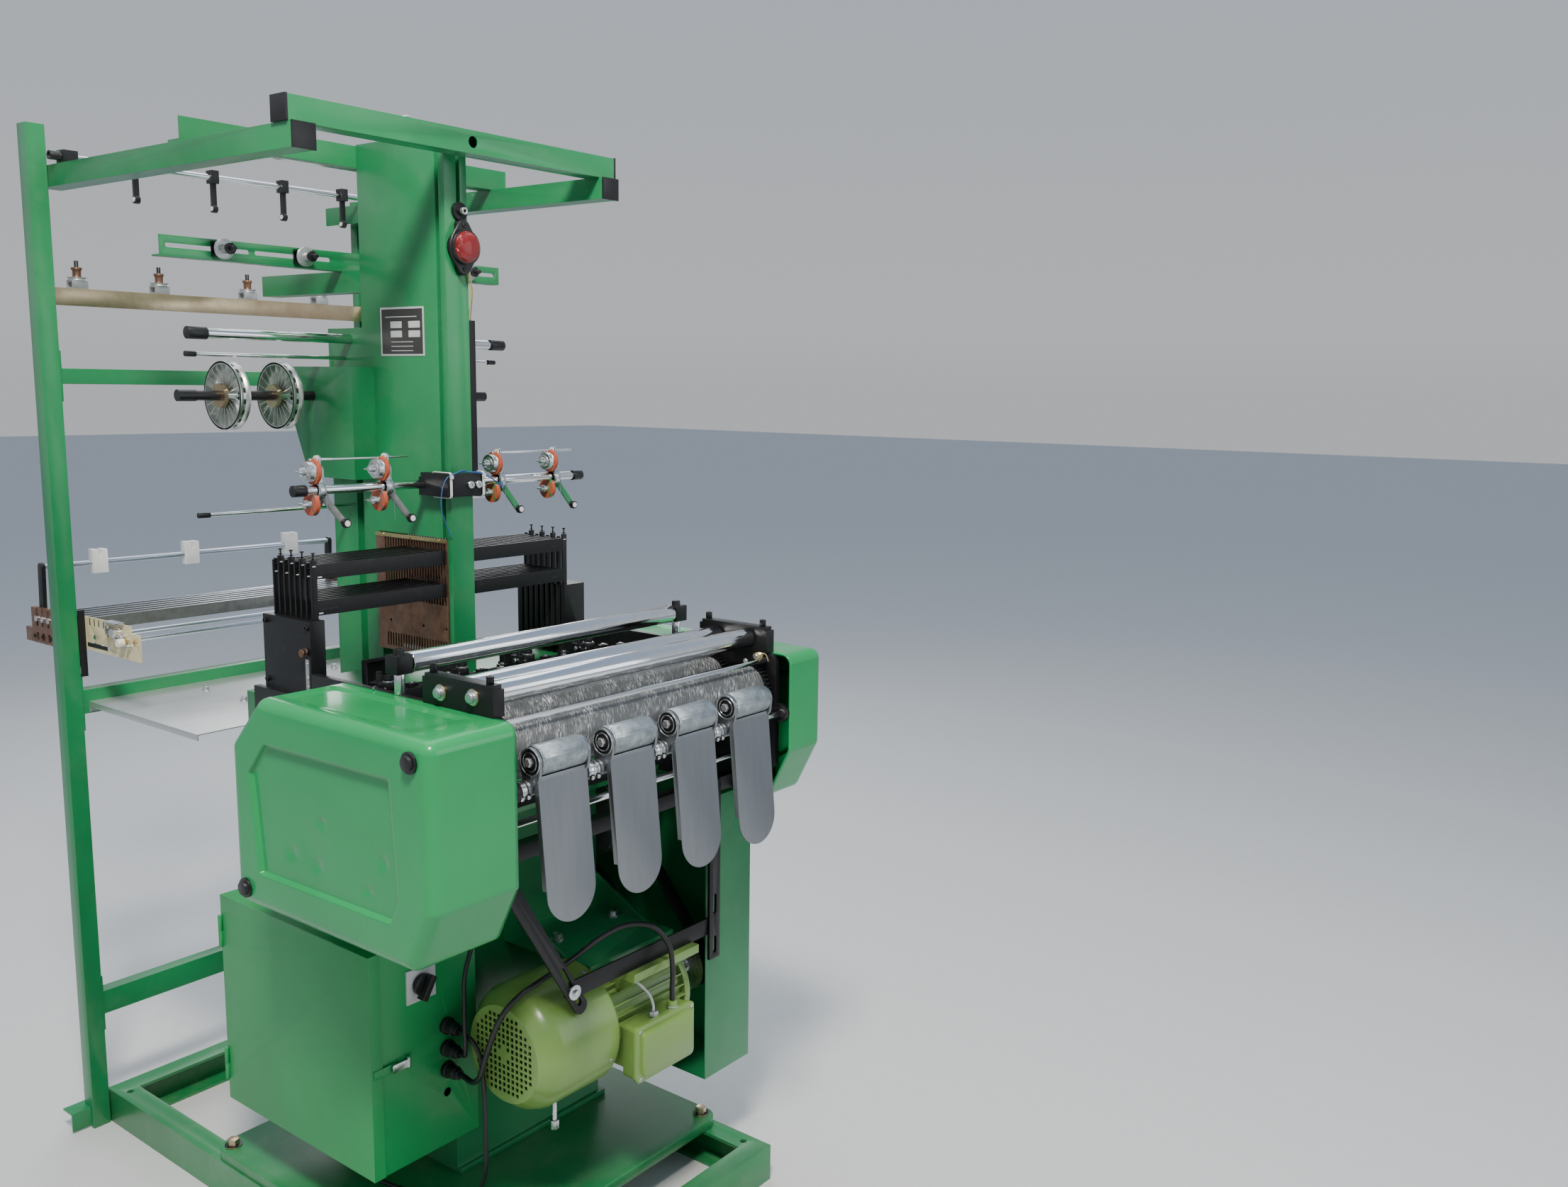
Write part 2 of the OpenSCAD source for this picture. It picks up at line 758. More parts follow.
// Chute: flat strip with a round end and a folded lip on its left side
module chute(xc) {
    straight = chute_l - chute_w / 2;
    translate([xc, chute_y, chute_top]) rotate([-chute_lean, 0, 0]) {
        rotate([90, 0, 0]) mirror([0, 1, 0]) linear_extrude(chute_t) {
            translate([-chute_w / 2, 0]) square([chute_w, straight]);
            translate([0, straight]) circle(chute_w / 2);
        }
        translate([-chute_w / 2, 0, 8 - straight]) cube([chute_t, chute_lip, straight - 8]);
    }
}
module press_arm_1() { press_arm(0); }
module press_arm_2() { press_arm(1); }
module press_arm_3() { press_arm(2); }
module press_arm_4() { press_arm(3); }

module press_roller(k) {
    xc = ribbon_x0 + k * ribbon_pitch;
    color(zinc) difference() {
        union() {
            bar_x(xc - press_len / 2, xc + press_len / 2, press_y, press_z, press_r - 1);
            bar_x(xc - press_len / 2 + 2, xc + press_len / 2 - 2, press_y, press_z, press_r);
        }
        bar_x(xc - press_len, xc + press_len, press_y, press_z, press_pin_r + run);
    }
}
module press_roller_1() { press_roller(0); }
module press_roller_2() { press_roller(1); }
module press_roller_3() { press_roller(2); }
module press_roller_4() { press_roller(3); }

// Moulded cover: a shell open towards the side plate, with cut corners, a sunk panel and a sunk top
function cover_points(z0) = [[cover_y0, cover_z1], [cover_y0, z0 + 91], [cover_y0 + 51, z0],
    [cover_y1, z0], [cover_y1, cover_z1 - 82], [cover_y1 - 80, cover_z1]];
// The points moved inward by d from their bounding lines
function inset_points(p, d) = [[p[0][0] + d, p[0][1] - d], [p[1][0] + d, p[1][1] + d * 0.55],
    [p[2][0] + d * 0.55, p[2][1] + d], [p[3][0] - d, p[3][1] + d],
    [p[4][0] - d, p[4][1] - d * 0.42], [p[5][0] - d * 0.42, p[5][1] - d]];
module cover(side, x_in, depth, z0) {
    p = cover_points(z0);
    r = cover_round;
    c = inset_points(p, r);
    panel = inset_points(p, 50);
    inner = inset_points(p, r + cover_t);
    translate([x_in, 0, 0]) scale_side(side) difference() {
        hull() for (q = c) translate([0, q[0], q[1]]) {
            rotate([0, 90, 0]) cylinder(r = r, h = 2, $fn = 32);
            translate([depth - r, 0, 0]) sphere(r = r, $fn = 32);
        }
        hull() for (q = inner) translate([-1, q[0], q[1]]) rotate([0, 90, 0])
            cylinder(r = r, h = depth - 2 * cover_t + 1, $fn = 24);
        translate([depth - 3, 0, 0]) rotate([90, 0, 90]) linear_extrude(4)
            polygon(panel);
        translate([depth * 0.25, cover_y1 - 80 - 300, cover_z1 - 2])
            cube([depth * 0.5, 270, 3]);
    }
}
// Turns a shape built towards +X to the side that it belongs to
module scale_side(side) {
    if (side > 0) children();
    else mirror([1, 0, 0]) children();
}
module cover_left() { color(cover_green) cover(-1, cover_lx, cover_l_depth, cover_z0); }
module cover_right() { color(cover_green) cover(1, cover_rx, cover_r_depth, cover_r_z0); }

// Heald frames: two bars and two legs each, with a thumb screw on each leg
module heald_frame(i, leg_top) {
    low = heald_low;
    y = heald_y0 + i * heald_pitch;
    y0 = y - heald_t / 2;
    top = low + 2 * heald_bar + heald_window;
    for (z = [low, low + heald_bar + heald_window])
        block(heald_x0, heald_l / 2, y0, y0 + heald_t, z, z + heald_bar);
    for (x = [heald_x0, heald_l / 2 - heald_leg]) {
        block(x, x + heald_leg, y0, y0 + heald_t, heald_leg_low, top + leg_top);
        bar_z(x + heald_leg / 2, y, top + leg_top, top + leg_top + 10, 1.4);
        bar_z(x + heald_leg / 2, y, top + leg_top + 10, top + leg_top + 12.5, 3.2);
    }
}
module heald_frames_odd() {
    color(black) for (i = [0 : 2 : heald_count - 1]) heald_frame(i, 8);
}
module heald_frames_even() {
    color(black) for (i = [1 : 2 : heald_count - 1]) heald_frame(i, -10);
}

// Sley: rocking shaft with one reed for each ribbon
sley_y = -184;
sley_z = case_top + 14;
module sley() {
    color(black) {
        bar_x(in_x0 + gap, in_x1 - gap, sley_y, sley_z, 10);
        for (k = [0 : 3]) let (x = ribbon_x0 + 20 + k * ribbon_pitch) {
            block(x - 34, x + 34, sley_y - 8, sley_y + 8, sley_z + 8, sley_z + 18);
            for (s = [-34, 28]) block(x + s, x + s + 6, sley_y - 4, sley_y + 4, sley_z + 18, sley_z + 62);
            block(x - 34, x + 34, sley_y - 4, sley_y + 4, sley_z + 62, sley_z + 67);
            for (j = [0 : 12]) block(x - 25 + j * 4, x - 24.2 + j * 4, sley_y - 2.5, sley_y + 2.5,
                sley_z + 17.5, sley_z + 62.5);
        }
    }
}

// Weft needle: hub on a fixed pin, holder block and a bent needle
module weft_needle(k) {
    x = needle_x0 + k * ribbon_pitch;
    z0 = table_z + gap;
    color(black) difference() {
        union() {
            bar_z(x, needle_y, z0, z0 + 24, 12);
            block(x - 12, x + 12, needle_y, needle_y + 34, z0 + 4, z0 + 20);
            bar_z(x, needle_y + 24, z0 + 20, z0 + 34, 5);
        }
        bar_z(x, needle_y, z0 - 1, z0 + 25, needle_pin_r + run);
    }
    color(bright) translate([x + needle_bend, needle_y + 26, z0 + 12]) rotate([0, 0, 110])
        rotate_extrude(angle = 70) translate([needle_bend, 0]) circle(2, $fn = 16);
}
module weft_needle_1() { weft_needle(0); }
module weft_needle_2() { weft_needle(1); }
module weft_needle_3() { weft_needle(2); }
module weft_needle_4() { weft_needle(3); }

// Black table between the side plates, with the pins that the needles swing on
module needle_table() {
    block(in_x0, in_x1, needle_y - 60, needle_y + 26, table_z - 8, table_z);
    block(in_x0, in_x1, needle_y - 60, needle_y - 50, table_z, table_z + 20);
    for (k = [0 : 3]) let (x = needle_x0 + k * ribbon_pitch) {
        bar_z(x, needle_y, table_z, table_z + 26, needle_pin_r);
        bar_z(x, needle_y, table_z + 26, table_z + 32, 8);
    }
}

// Central column
module column() {
    color(green) {
        block(col_x0, col_x1, box_y0 + box_neck, box_y1, box_z0, column_top);
        block(col_x0 + 8, col_x1 - 8, box_y0, box_y0 + box_neck, box_z0, front_top - 20);
        difference() {
            block(col_x0, col_x1, front_y0, front_y1, case_top, front_top);
            block(col_mid + 2, col_mid + 10, front_y0 - 1, front_y0 + 12, beam_z - 36, front_top + 1);
        }
        difference() {
            union() {
                block(col_x0, col_x1, rear_y0, rear_y1, case_z0, box_z0);
                block(col_x0, col_x1, box_y1, rear_y1, box_z0 - 1, rear_top);
            }
            for (x = [col_x0 - 1, col_x1 - rear_slot_depth])
                block(x, x + rear_slot_depth + 1, rear_slot_y - rear_slot_w / 2,
                    rear_slot_y + rear_slot_w / 2, case_top - 60, 1380);
            bar_x(col_x0 - 1, col_x1 + 1, wheel_y, wheel_z, wheel_shaft_r + 1);
        }
    }
}

// Two slotted plates that guide the heald frames' bars
module guide_plates() {
    step = heald_pitch / 2;
    n = floor((guide_y1 - 24 - heald_y0) / step);
    color(copper) for (x = [col_x0 - guide_t, col_x1]) along_x(x, x + guide_t) difference() {
        translate([guide_y0, guide_z0]) square([guide_y1 - guide_y0, guide_z1 - guide_z0]);
        for (j = [0 : n]) translate([heald_y0 + j * step - heald_t / 2, 0]) {
            translate([-slot_clear, slot_z0]) square([heald_t + 2 * slot_clear, slot_z1 - slot_z0]);
            translate([0, guide_z0 + 8]) square([heald_t, 26]);
        }
        for (y = [guide_y0 + 8, guide_y0 + 75, guide_y1 - 40])
            translate([y, guide_z0 + 58]) circle(3);
    }
}

// Lamp base, socket disc, cable channel and the clamp of the feed bars
lamp_z = beam_z - 115;
lamp_r = 22;
module column_fittings() {
    color(black) {
        along_y(front_y0 - 14, front_y0) translate([col_mid + 6, lamp_z]) {
            circle(lamp_r + 6);
            slot_2d([0, -38], [0, 38], 11);
        }
        bar_y(col_mid + 6, front_y0 - 6, front_y0, beam_z - 52, 16);
        bar_y(col_mid + 6, front_y0 - 12, front_y0 - 6, beam_z - 52, 7);
        block(col_x1, col_x1 + 14, front_y0, front_y0 + 22, clamp_z0 + clamp_h + 2, 1662);
        feed_clamp();
    }
}
module feed_clamp() {
    for (x = [col_x0 - cheek - 2, col_x1 + 2]) difference() {
        block(x, x + cheek, clamp_y0, feed_y + 14, clamp_z0, clamp_z0 + clamp_h);
        block(x - 1, x + cheek + 1, feed_y + 8, feed_y + 15, clamp_z0 + clamp_h - 8,
            clamp_z0 + clamp_h + 1);
    }
    block(col_x0 - 2, col_x1 + 2, clamp_y0, front_y0, clamp_z0, clamp_z0 + clamp_h);
}
module lamp_lens() {
    color([0.75, 0.10, 0.08]) translate([col_mid + 6, front_y0 - 14, lamp_z]) rotate([90, 0, 0])
        rotate_extrude() polygon([[0, 0], [lamp_r, 0], [lamp_r, 16], [lamp_r - 2, 21], [lamp_r - 7, 25], [0, 27]]);
}

// Rear stand: left tube post, right strut post, cross rails with end plates, and the foot angle
module rear_frame() {
    color(green) {
        difference() {
            block(-post_x - post_w, -post_x, left_post_y, left_post_y + post_w, 0, post_h);
            block(-post_x - post_w + 3, -post_x - 3, left_post_y + 3, left_post_y + post_w - 3, -1, post_h - 3);
            block(-post_x - post_w - 1, -post_x + 1, base_l / 2, left_post_y + post_w + 1, -1,
                foot_angle + 4);
        }
        difference() {
            block(post_x, post_x + right_post_w, right_post_y, right_post_y + right_post_l, 0, post_h - 58);
            block(post_x - 1, post_x + right_post_w + 1, base_l / 2, right_post_y + right_post_l + 1, -1,
                foot_angle + 4);
            block(post_x - 1, post_x + 20, right_post_y + right_post_l / 2 - strut_slot / 2,
                right_post_y + right_post_l / 2 + strut_slot / 2, 60, post_h);
        }
        cross_rail(rail_low_z, 50);
        cross_rail(rail_tray_z, 49);
        cross_rail(rail_mid_z, 30);
        foot_rail();
    }
}
module cross_rail(z, h) {
    tube_x(-post_x + 4, post_x - 4, rail_y, z, rail_t, h, 3);
    for (x = [-post_x, post_x - 4])
        block(x, x + 4, rail_y - 2, rail_y + rail_t, z - 34, z + h + 34);
}
module foot_rail() {
    block(-post_x - 72, post_x + 72, base_l / 2, base_l / 2 + angle_t, 4, foot_angle + 4);
    block(-post_x - 72, post_x + 72, base_l / 2 + angle_t, base_l / 2 + foot_angle,
        foot_angle, foot_angle + 4);
}

// Top frame: two side beams, the front beam with its hole and the angle behind the column
module top_beams() {
    color(green) {
        tube_y(-post_x, beam_y0, beam_left_y1, beam_z, tube, tube, 3);
        tube_y(beam_x, beam_y0, beam_right_y1, beam_z, tube, tube, 3);
        difference() {
            tube_x(-post_x, post_x, front_beam_y, beam_top, tube, tube, 3);
            bar_y(col_mid - 8, front_beam_y - 1, front_beam_y + tube + 1, beam_top + tube / 2, 10);
        }
        block(-post_x, post_x, box_y1, box_y1 + angle_t, beam_top, beam_top + angle_leg);
        block(-post_x, post_x, box_y1 + angle_t, box_y1 + angle_leg, beam_top, beam_top + angle_t);
    }
}

// Black end caps of the beams, rods and feed bars
module end_caps() {
    color(black) {
        for (x = [-post_x, beam_x]) {
            block(x - 1, x + tube + 1, beam_y0 - cap_t, beam_y0, beam_z - 1, beam_top);
            block(x + tube_t, x + tube - tube_t, beam_y0, beam_y0 + cap_plug, beam_z + tube_t, beam_top - tube_t);
        }
        for (s = [-1, 1]) side_copy(s) {
            block(post_x, post_x + cap_t, front_beam_y - 1, front_beam_y + tube + 1, beam_top, beam_top + tube + 1);
            block(post_x - cap_plug, post_x, front_beam_y + tube_t, front_beam_y + tube - tube_t,
                beam_top + tube_t, beam_top + tube - tube_t);
        }
        rod_cap_pair(thick_y, thick_z, stub_x0, stub_x1, 9, 11, 36);
        rod_cap_pair(thin_y, thin_z, stub_x0 + 6, stub_x1 - 6, 3.5, 5, 20);
        rod_cap_pair(low_y, low_z, stub_x0 + 7, stub_x1 - 20, 3.5, 5, 22);
        rod_cap_pair(feed_y, feed_z, feed_x0, feed_x1, feed_bar_r, feed_bar_r + 2, 24);
        rod_hooks();
    }
}
module rod_cap_pair(y, z, x0, x1, r, cap_r, l) {
    for (s = [-1, 1]) difference() {
        bar_x(s < 0 ? x0 - 3 : x1 + 3 - l, s < 0 ? x0 - 3 + l : x1 + 3, y, z, cap_r);
        bar_x(s < 0 ? x0 : x1 - l, s < 0 ? x0 + l : x1, y, z, r);
    }
}

// Polished rods: feed bars, the stubs behind the column and the rod of the yarn hooks
module stub_pair(y, z, x0, x1, r) {
    bar_x(x0, col_x0, y, z, r);
    bar_x(col_x1, x1, y, z, r);
}
module chrome_rods() {
    color(bright) {
        stub_pair(thick_y, thick_z, stub_x0, stub_x1, 9);
        stub_pair(thin_y, thin_z, stub_x0 + 6, stub_x1 - 6, 3.5);
        stub_pair(low_y, low_z, stub_x0 + 7, stub_x1 - 20, 3.5);
        bar_x(feed_x0, col_x0 - cheek - 2, feed_y, feed_z, feed_bar_r);
        bar_x(col_x1 + cheek + 2, feed_x1, feed_y, feed_z, feed_bar_r);
        bar_x(-post_x - 10, post_x + 10, hook_y, hook_z, hook_rod_r);
        for (s = [0, 1]) bar_x(feed_unit_x[2 * s] - 14, feed_unit_x[2 * s + 1] + 52,
            feed_y, feed_z + 52, 2);
    }
}

// Saddles, grips and yarn hooks on the upper rod
module rod_hooks() {
    union() {
        for (x = [-post_x + 6, beam_x + 6]) difference() {
            block(x, x + 28, hook_y - 14, hook_y + 14, beam_top, hook_z + 12);
            bar_x(x - 1, x + 29, hook_y, hook_z, hook_rod_r);
        }
        for (x = [-post_x - 14, post_x - 20]) difference() {
            bar_x(x, x + 34, hook_y, hook_z, 9);
            bar_x(x - 1, x + 35, hook_y, hook_z, hook_rod_r);
            block(x - 1, x + 35, hook_y - 10, hook_y + 10, hook_z - 10, hook_z - 7);
        }
        for (x = hook_x) difference() {
            union() {
                block(x - 8, x + 8, hook_y - 11, hook_y + 11, hook_z - 12, hook_z + 14);
                block(x - 5, x + 5, hook_y - 4, hook_y + 4, hook_z - 62, hook_z - 12);
                bar_x(x - 5, x + 5, hook_y, hook_z - 62, 8);
            }
            bar_x(x - 9, x + 9, hook_y, hook_z, hook_rod_r);
            bar_x(x - 6, x + 6, hook_y, hook_z - 62, 4);
        }
    }
}

// Green brackets on the column: rear arm, slotted angle and the two housings of the wheel shaft
module house_outline() {
    polygon([[rear_y0 + 2, 1364], [236, 1364], [282, 1470], [282, 1576], [rear_y0 + 2, 1576]]);
}
module wheel_house(s, x) {
    t = 4;
    difference() {
        along_x(x, x + house_w) house_outline();
        along_x(s < 0 ? x + t : x - 1, s < 0 ? x + house_w + 1 : x + house_w - t) offset(delta = -t) house_outline();
        bar_x(x - 1, x + house_w + 1, wheel_y, wheel_z, wheel_shaft_r + run);
    }
}
module column_brackets() {
    color(green) {
        tube_y(col_mid - tube / 2, box_y1, arm_y1, arm_z, tube, tube, 3);
        along_y(tension_y, tension_y + 3) difference() {
            translate([-366, arm_z + tube]) square([751, 36]);
            for (x = [-352, -184, 50, 218]) slot_2d([x, arm_z + tube + 19], [x + 150, arm_z + tube + 19], 4);
        }
        block(-366, 385, tension_y + 3, tension_y + 28, arm_z + tube, arm_z + tube + 3);
        wheel_house(-1, col_x0 - house_w);
        wheel_house(1, col_x1);
    }
}

// Shaft of the feed wheels, with a bush at each wheel
module feed_wheels() {
    color(bright) {
        for (x = wheel_x) spoked_wheel(x);
        bar_x(wheel_shaft_x0, wheel_shaft_x1, wheel_y, wheel_z, wheel_shaft_r);
        for (x = [wheel_shaft_x0, wheel_shaft_x1 - 34])
            bar_x(x, x + 34, wheel_y, wheel_z, wheel_shaft_r + 1.5);
    }
}
// Spoked wheel: hub, thin spokes and a grooved rim
module spoked_wheel(x) {
    translate([x, wheel_y, wheel_z]) rotate([0, 90, 0]) {
        rotate_extrude($fn = 96) polygon([[wheel_r - rim_t, -wheel_w / 2], [wheel_r, -wheel_w / 2],
            [wheel_r, -wheel_w / 2 + 3], [wheel_r - 3.5, -2], [wheel_r - 3.5, 2],
            [wheel_r, wheel_w / 2 - 3], [wheel_r, wheel_w / 2], [wheel_r - rim_t, wheel_w / 2]]);
        for (p = [[-wheel_w / 2 - 8, 22, 8], [-wheel_w / 2, hub_r, wheel_w + 4]]) translate([0, 0, p[0]]) difference() {
            cylinder(r = p[1], h = p[2]);
            translate([0, 0, -1]) cylinder(r = wheel_shaft_r, h = p[2] + 2);
        }
        for (i = [0 : spokes - 1]) rotate(i * 360 / spokes) translate([hub_r - 1, -0.8, -wheel_w / 2 + 3])
            cube([wheel_r - rim_t - hub_r + 2, 1.6, wheel_w - 6]);
    }
}

// Yarn rail across the rear stand
module yarn_rail() {
    color(zinc) {
        block(-post_x, post_x, left_post_y + post_w - 7, left_post_y + post_w - 3,
            yarn_rail_z, yarn_rail_z + yarn_rail_h);
        block(-post_x, post_x, left_post_y + post_w - 3, left_post_y + post_w + 22,
            yarn_rail_z + yarn_rail_h - 4, yarn_rail_z + yarn_rail_h);
    }
}

// Disc tensioner: clip, two discs, spring and stem, standing up from its seat
module tensioner() {
    difference() {
        translate([-15, -13, 0]) cube([30, 26, 16]);
        translate([-16, -9, 3]) cube([32, 18, 10]);
    }
    translate([0, 0, 16]) cylinder(r1 = disc_r, r2 = disc_r - 3, h = 3);
    translate([0, 0, 19]) cylinder(r1 = disc_r - 3, r2 = disc_r, h = 3);
    translate([0, 0, 22]) cylinder(r = 8, h = 14);
    translate([0, 0, 36]) cylinder(r = 10, h = 5);
    translate([0, 0, 41]) cylinder(r = 4, h = 13);
}
module yarn_tensioners() {
    color(zinc) {
        for (x = spindle_x) translate([x, left_post_y + post_w + 9, yarn_rail_z + yarn_rail_h])
            tensioner();
        for (x = tension_x) translate([x, tension_y, arm_z + tube + 19]) rotate([90, 0, 0])
            tensioner();
    }
}

// Feed unit: clamp plate on the bar, upper knob with its pad, lower disc and the arm with its eyelet
module feed_unit(x) {
    difference() {
        union() {
            along_x(x - 4, x + 8) {
                translate([feed_y, feed_z]) circle(16);
                slot_2d([feed_y, feed_z], [feed_y, feed_z + 34], 9);
                slot_2d([feed_y, feed_z], [feed_y + 6, feed_z - 20], 9);
            }
            along_x(x - 1, x + 3) slot_2d([feed_y, feed_z + 30], [feed_y - 4, feed_z + 54], 6);
        }
        bar_x(x - 5, x + 9, feed_y, feed_z, feed_bar_r + run);
        bar_x(x - 5, x + 9, feed_y, feed_z + 52, 2 + run);
    }
    bar_x(x - 10, x - 4, feed_y, feed_z + 32, 22);
    bar_x(x - 22, x - 10, feed_y, feed_z + 32, 17);
    bar_x(x - 34, x - 22, feed_y, feed_z + 32, 5);
    bar_x(x - 12, x - 4, feed_y + 6, feed_z - 24, 20);
    bar_x(x - 22, x - 12, feed_y + 6, feed_z - 24, 7);
    along_y(feed_y - 6, feed_y - 3) slot_2d([x + 10, feed_z - 14], [x + 48, feed_z - 60], 6);
    bar_y(x + 48, feed_y - 12, feed_y - 6, feed_z - 60, 8);
    block(x + 7, x + 18, feed_y - 5, feed_y + 4, feed_z - 22, feed_z - 6);
}
module feed_units() {
    color(zinc) for (x = feed_unit_x) feed_unit(x);
}

// Web of the motor's feet, which point up to the bracket
module motor_foot() {
    polygon([[-540, bracket_z], [-320, bracket_z], [-320, bracket_z - 10], [-370, motor_z + 50],
        [-490, motor_z + 50], [-540, bracket_z - 10]]);
}

// Motor: finned body with end shields, feet on top and the terminal box at the front
module motor_body() {
    color(motor_green) {
        difference() {
            union() {
                bar_x(motor_x0, motor_x1, motor_y, motor_z, motor_r - 12);
                for (x = [motor_x0, motor_x1 - 14]) bar_x(x, x + 14, motor_y, motor_z, motor_r);
                bar_x(motor_x1, motor_x1 + 14, motor_y, motor_z, motor_r - 22);
                for (i = [0 : 27]) translate([motor_x0 + 10, motor_y, motor_z]) rotate([i * 360 / 28, 0, 0])
                    translate([0, -1.5, motor_r - 14]) cube([motor_x1 - motor_x0 - 20, 3, 13]);
                for (x = [50, 190]) along_x(x, x + 14) motor_foot();
                for (y = [-350, -540]) block(40, 214, y, y + 30, bracket_z - 10, bracket_z);
                block(24, 152, -540, motor_y - 60, 345, 420);
                bar_x(fan_x1 - 6, motor_x0 + 1, motor_y, motor_z, fan_r - fan_t - run);
            }
            bar_x(fan_x1 - 7, motor_x1 + 20, motor_y, motor_z, rotor_r + run);
        }
        bar_z(118, -560, 434, 447, 9);
        along_y(-562, -536) round_rect(15, 333, 146, 98, 8);
        along_y(-572, -562) round_rect(12, 330, 152, 104, 10);
        along_y(-580, -572) round_rect(24, 342, 128, 80, 8);
        block(40, 214, -540, -510, bracket_z, bracket_z + 6);
    }
}

// Fan cover: spun sheet cup with a grille of square holes
module fan_cover() {
    grid = 11;
    hole = 7;
    color(motor_green) difference() {
        translate([fan_x1, motor_y, motor_z]) rotate([0, -90, 0]) rotate_extrude($fn = 96) {
            len = fan_x1 - fan_x0;
            polygon([[fan_r, 0], [fan_r, len - fan_bevel], [fan_r - 6, len - fan_bevel * 0.6],
                [fan_r - 26, len], [0, len], [0, len - fan_t], [fan_r - 27, len - fan_t],
                [fan_r - 8, len - fan_bevel * 0.6 - fan_t], [fan_r - fan_t, len - fan_bevel], [fan_r - fan_t, 0]]);
        }
        for (i = [-6 : 6], j = [-6 : 6])
            if (norm([i, j]) * grid < fan_r - 38 && norm([i, j]) > 1.1)
                translate([fan_x0 - 1, motor_y + i * grid - hole / 2, motor_z + j * grid - hole / 2])
                    cube([fan_t + 2, hole, hole]);
    }
}

// Rotor: shaft with the fan at its left end and the grooved pulley at its right end
module grooved_pulley(x, y, z, r) {
    for (s = [0, belt_w + 3]) bar_x(x + s, x + s + 3, y, z, r + flange_h);
    bar_x(x, x + belt_w + 6, y, z, r);
}
module motor_rotor() {
    color(bright) {
        bar_x(-120, pulley_x + belt_w + 12, motor_y, motor_z, rotor_r);
        grooved_pulley(pulley_x, motor_y, motor_z, motor_pulley_r);
    }
    color(black) {
        bar_x(-112, -80, motor_y, motor_z, 30);
        for (i = [0 : 6]) translate([-112, motor_y, motor_z]) rotate([i * 360 / 7, 0, 0])
            translate([2, -2, 25]) cube([28, 4, 62]);
    }
}
module main_pulley() {
    color(zinc) {
        bar_x(ped_x1 - 76, pulley_x + belt_w + 14, main_y, main_z, main_r);
        grooved_pulley(pulley_x, main_y, main_z, main_pulley_r);
    }
}
// Flat belt round both pulleys
module drive_belt() {
    belt_t = 4;
    color(black) along_x(pulley_x + 3 + gap, pulley_x + 3 + belt_w - gap) difference() {
        hull() {
            translate([motor_y, motor_z]) circle(motor_pulley_r + gap + belt_t, $fn = 64);
            translate([main_y, main_z]) circle(main_pulley_r + gap + belt_t, $fn = 64);
        }
        hull() {
            translate([motor_y, motor_z]) circle(motor_pulley_r + gap, $fn = 64);
            translate([main_y, main_z]) circle(main_pulley_r + gap, $fn = 64);
        }
    }
}

// Hanger: slotted link, angle bar over the motor's front foot and the slotted strap at the right
module motor_hanger() {
    color(black) {
        along_y(hang_y, hang_y + hang_t) difference() {
            slot_2d([-262, case_z0 + 14], [-80, 500], 14);
            slot_2d([-122, 578], [-84, 508], 5);
        }
        along_y(hang_y, hang_y + hang_t) difference() {
            translate([257, 466]) square([30, case_z0 + 28 - 466]);
            slot_2d([272, 482], [272, 506], 5);
            slot_2d([272, 560], [272, 590], 5);
        }
        block(-100, 286, hang_y + hang_t, hang_y + hang_t + 4, bracket_z + 6, bracket_z + 38);
        block(-100, 286, hang_y + hang_t + 4, hang_y + hang_t + 16, bracket_z + 6, bracket_z + 10);
    }
}

// Folded belt guard, open towards the motor and at the top
module belt_guard() {
    color(green) {
        block(guard_x0, guard_x1, guard_y0, guard_y0 + guard_t, guard_z0, guard_z1);
        block(guard_x1 - guard_t, guard_x1, guard_y0 + guard_t, guard_y1, guard_z0, guard_z1);
        block(guard_x0, guard_x1 - guard_t, guard_y0 + guard_t, guard_y1, guard_z0, guard_z0 + guard_t);
        block(ped_x1, guard_x1 - guard_t, guard_y1 - guard_t, guard_y1, guard_z0 + guard_t, guard_z1);
    }
}

// Cabinet: folded box open to the left, where the door closes it, with a mounting plate inside
module cabinet_box() {
    color(green) {
        difference() {
            union() {
                block(cab_x0, cab_x1, cab_y0, cab_y1, cab_z0, cab_z1);
                block(switch_x - 30, switch_x + 30, cab_y0 - 3, cab_y0 + 1, switch_z - 30, switch_z + 30);
            }
            block(cab_x0 - 1, cab_x1 - cab_t, cab_y0 + cab_t, cab_y1 - cab_t, cab_z0 + cab_t, cab_z1 - cab_t);
            for (z = concat(gland_z, [307])) bar_y(gland_x, cab_y0 - 1, cab_y0 + cab_t + 1, z, 8);
            bar_y(switch_x, cab_y0 - 4, cab_y0 + cab_t + 1, switch_z, 6);
        }
        cabinet_trim();
    }
    color(zinc) {
        block(cab_x1 - cab_t - 6, cab_x1 - cab_t, cab_y0 + 60, cab_y1 - 40, cab_z0 + 40, cab_z1 - 50);
        for (j = [0 : 3]) let (y = cab_y0 + 90 + j * 72)
            block(cab_x1 - cab_t - 76, cab_x1 - cab_t - 6, y, y + 46, cab_z0 + 190, cab_z0 + 270);
        block(cab_x1 - cab_t - 56, cab_x1 - cab_t - 6, cab_y0 + 80, cab_y1 - 70, cab_z0 + 80, cab_z0 + 120);
    }
}
